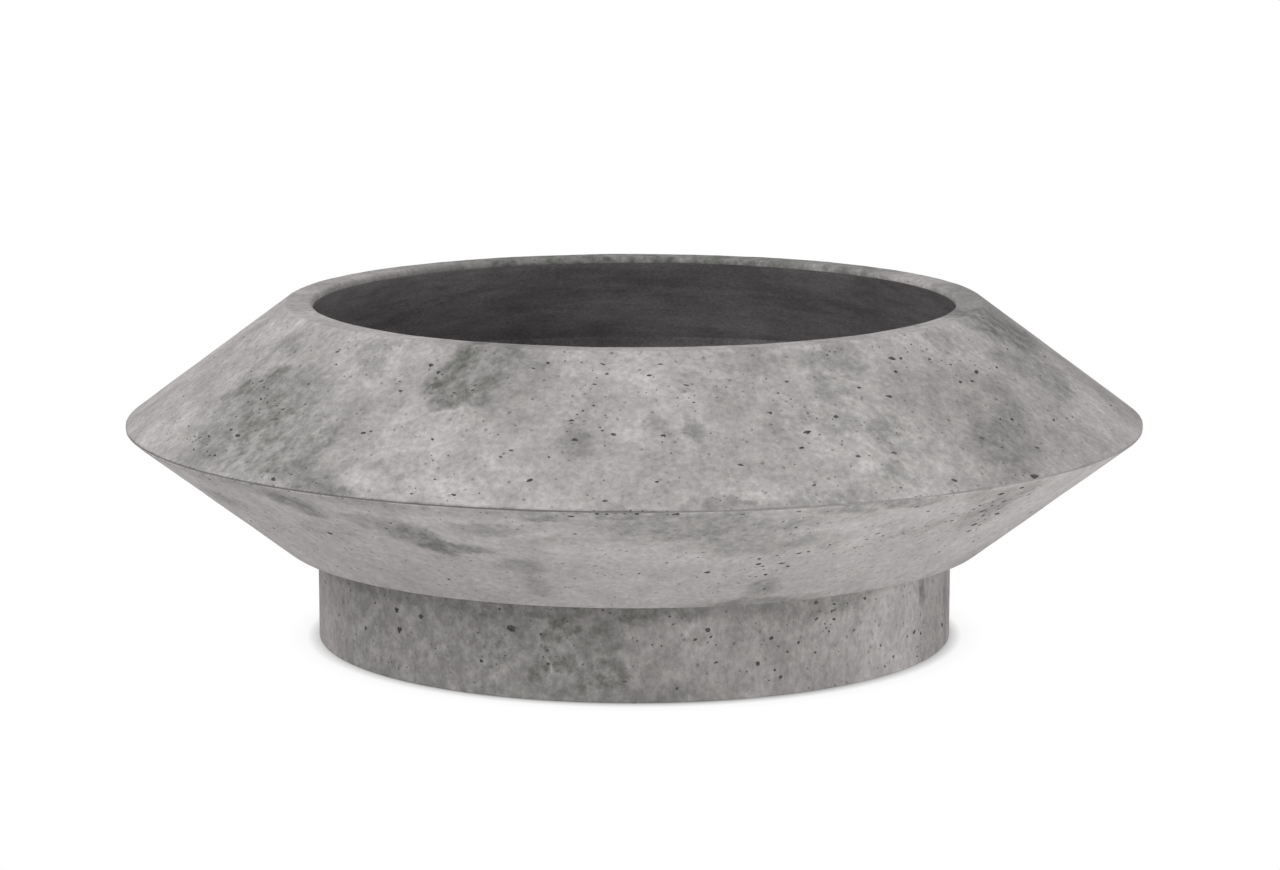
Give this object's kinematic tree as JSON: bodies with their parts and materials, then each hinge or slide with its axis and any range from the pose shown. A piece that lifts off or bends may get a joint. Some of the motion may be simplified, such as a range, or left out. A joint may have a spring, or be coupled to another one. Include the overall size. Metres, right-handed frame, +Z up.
{
  "type": "bowl planter",
  "caption": "Wide double-cone concrete bowl with a flat rim, a fine joint at its widest edge, a set-back ring plinth and a screw-plugged drain in its floor.",
  "frame": {"origin": "on the ground under the middle of the bowl, at the bottom of its rubber feet", "axes": "+Z up along the bowl's axis; +X and +Y level, with a bolt, a boss and a foot on +X"},
  "size_m": [1.195, 1.195, 0.4],
  "materials": {
    "concrete": "matte cast concrete with fine pores",
    "mortar": "matte grey mortar",
    "steel": "stainless, machined",
    "rubber": "matte black",
    "pvc": "moulded, dark grey",
    "nylon": "moulded, natural white"
  },
  "bodies": {
    "planter": {"upper_shell": "concrete", "lower_shell": "concrete", "joint_mortar": "mortar", "joint_dowels": "steel", "plinth_ring": "concrete", "bedding_gasket": "rubber", "threaded_sockets": "steel", "plinth_bolts": "steel", "bolt_washers": "steel", "bolt_seals": "rubber", "drain_body": "pvc", "drain_gasket": "rubber", "drain_slip_ring": "nylon", "drain_nut": "pvc", "foot_pads": "rubber"},
    "plug_ring": {"plug_o_ring": "rubber"},
    "plug": {"drain_plug": "pvc"}
  },
  "joints": [
    {"name": "plug_lift", "type": "slide", "parent": "planter", "child": "plug_ring", "axis": [0, 0, 1], "range_m": [0, 0.3]},
    {"name": "plug_turn", "type": "hinge", "parent": "plug_ring", "child": "plug", "pos_m": [0, 0, 0.14], "axis": [0, 0, 1], "continuous": true}
  ]
}
